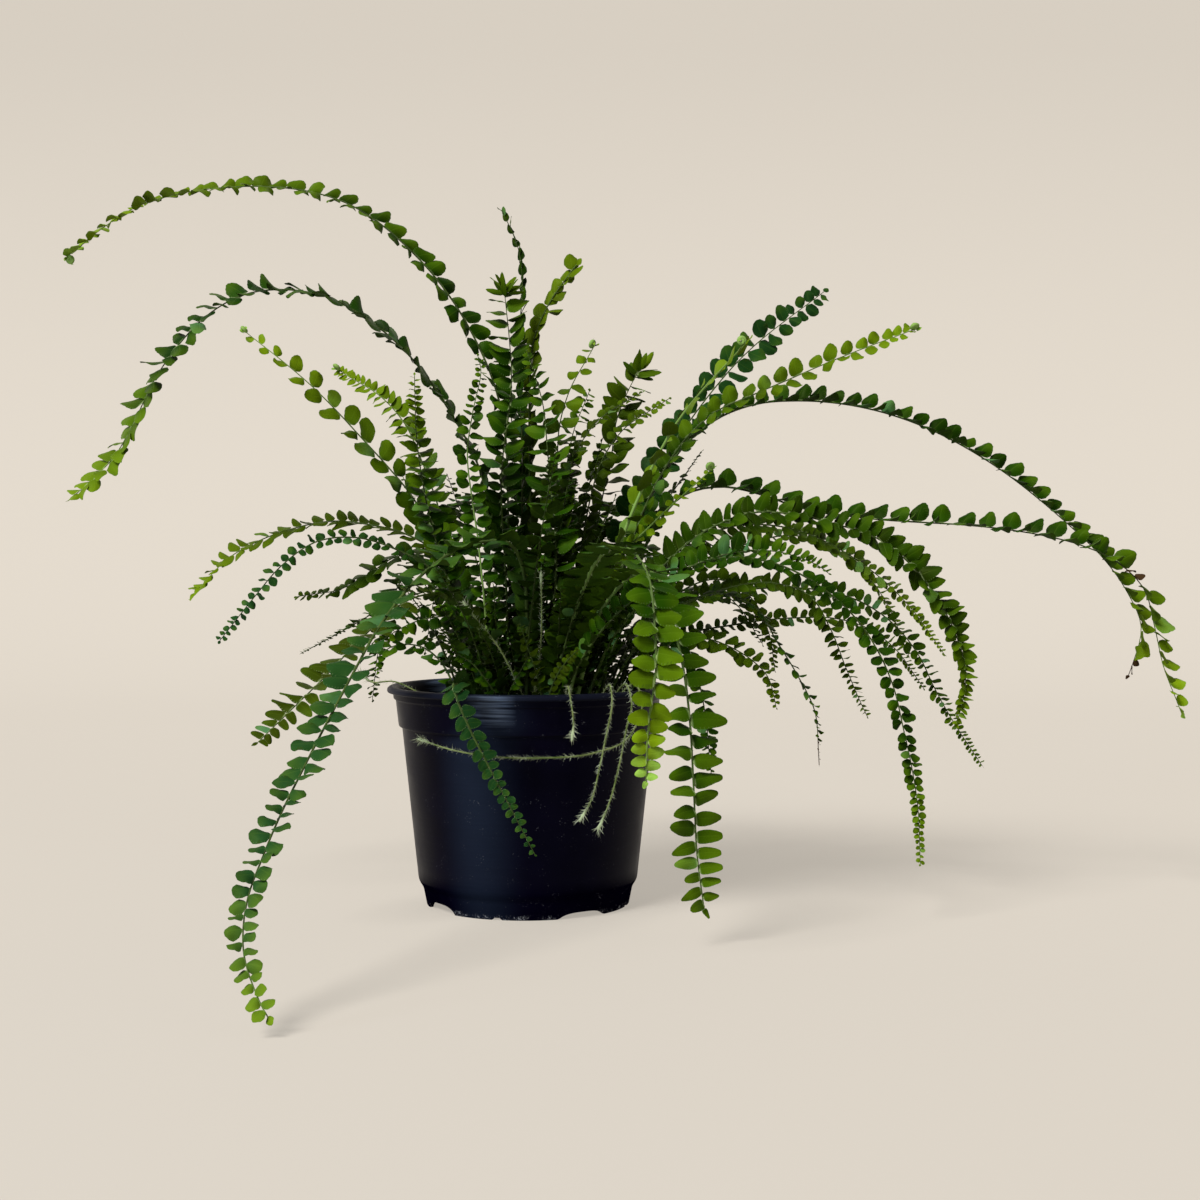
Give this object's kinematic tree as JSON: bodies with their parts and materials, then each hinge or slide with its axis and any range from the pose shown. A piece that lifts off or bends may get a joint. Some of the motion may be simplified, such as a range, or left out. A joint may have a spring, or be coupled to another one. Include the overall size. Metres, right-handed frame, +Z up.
{
  "type": "potted lemon button fern",
  "caption": "Lemon button fern with arching fronds of small round leaflets and pale runners, growing in a round black nursery pot.",
  "frame": {"origin": "centre of the pot's underside, on the surface that the pot stands on", "axes": "+Z up, -Y towards the front of the picture, +X to the picture's right"},
  "size_m": [0.6687, 0.5407, 0.4366],
  "materials": {
    "pot_plastic": "satin moulded black plastic",
    "potting_mix": "rough moist potting mix",
    "frond": "satin green leaf",
    "young_frond": "satin lime leaf",
    "runner": "matte, finely hairy"
  },
  "bodies": {
    "root": {"pot": "pot_plastic", "soil": "potting_mix", "runners_front_right": "runner", "runner_front_stub": "runner", "runner_left_rim": "runner", "runner_erect_left": "runner", "runner_erect_middle": "runner", "frond_front_left_trailing": "frond", "frond_front_right_lime": "young_frond", "frond_front_right_hanging": "frond", "frond_front_over_pot": "frond", "frond_front_right_small": "frond", "frond_left_high_arch": "frond", "frond_left_wide_arch": "frond", "frond_right_high_arch": "frond", "frond_right_wide_arch": "frond", "frond_left_rising": "frond", "frond_left_back_rising": "young_frond", "frond_left_inner_rising": "young_frond", "frond_left_low_arch_back": "frond", "frond_left_low_arch_front": "frond", "frond_left_short_back": "frond", "frond_left_thin_back": "frond", "frond_left_comb": "frond", "frond_left_rim": "frond", "frond_front_left_short": "frond", "frond_top_thin": "frond", "frond_top_bushy": "frond", "frond_top_leaning": "frond", "frond_middle_broad": "frond", "frond_middle_curled": "frond", "frond_middle_crested": "frond", "frond_middle_right_tip": "frond", "frond_middle_right_inner": "frond", "frond_middle_pale_stem": "frond", "frond_right_upright_dark": "frond", "frond_right_upright_light": "young_frond", "frond_right_curled_tip": "young_frond", "frond_right_drooping_front": "frond", "frond_right_long_hanging": "frond", "frond_right_low_long": "frond", "frond_right_low_back": "frond", "frond_right_drooping_back": "frond", "frond_right_far_back": "frond", "frond_right_comb": "frond", "frond_right_thin_hanging": "frond", "frond_right_short_low": "young_frond", "frond_right_short_middle": "frond", "frond_right_young": "young_frond", "frond_right_broad_front": "frond", "frond_back_left_arch": "frond", "frond_back_middle_arch": "frond", "frond_back_right_arch": "frond", "frond_back_left_low": "frond", "frond_back_upright_left": "frond", "frond_back_upright_right": "frond", "frond_back_right_low": "frond", "tuft_front_left": "frond", "tuft_front_middle": "frond", "tuft_middle_right": "frond"}
  },
  "joints": []
}
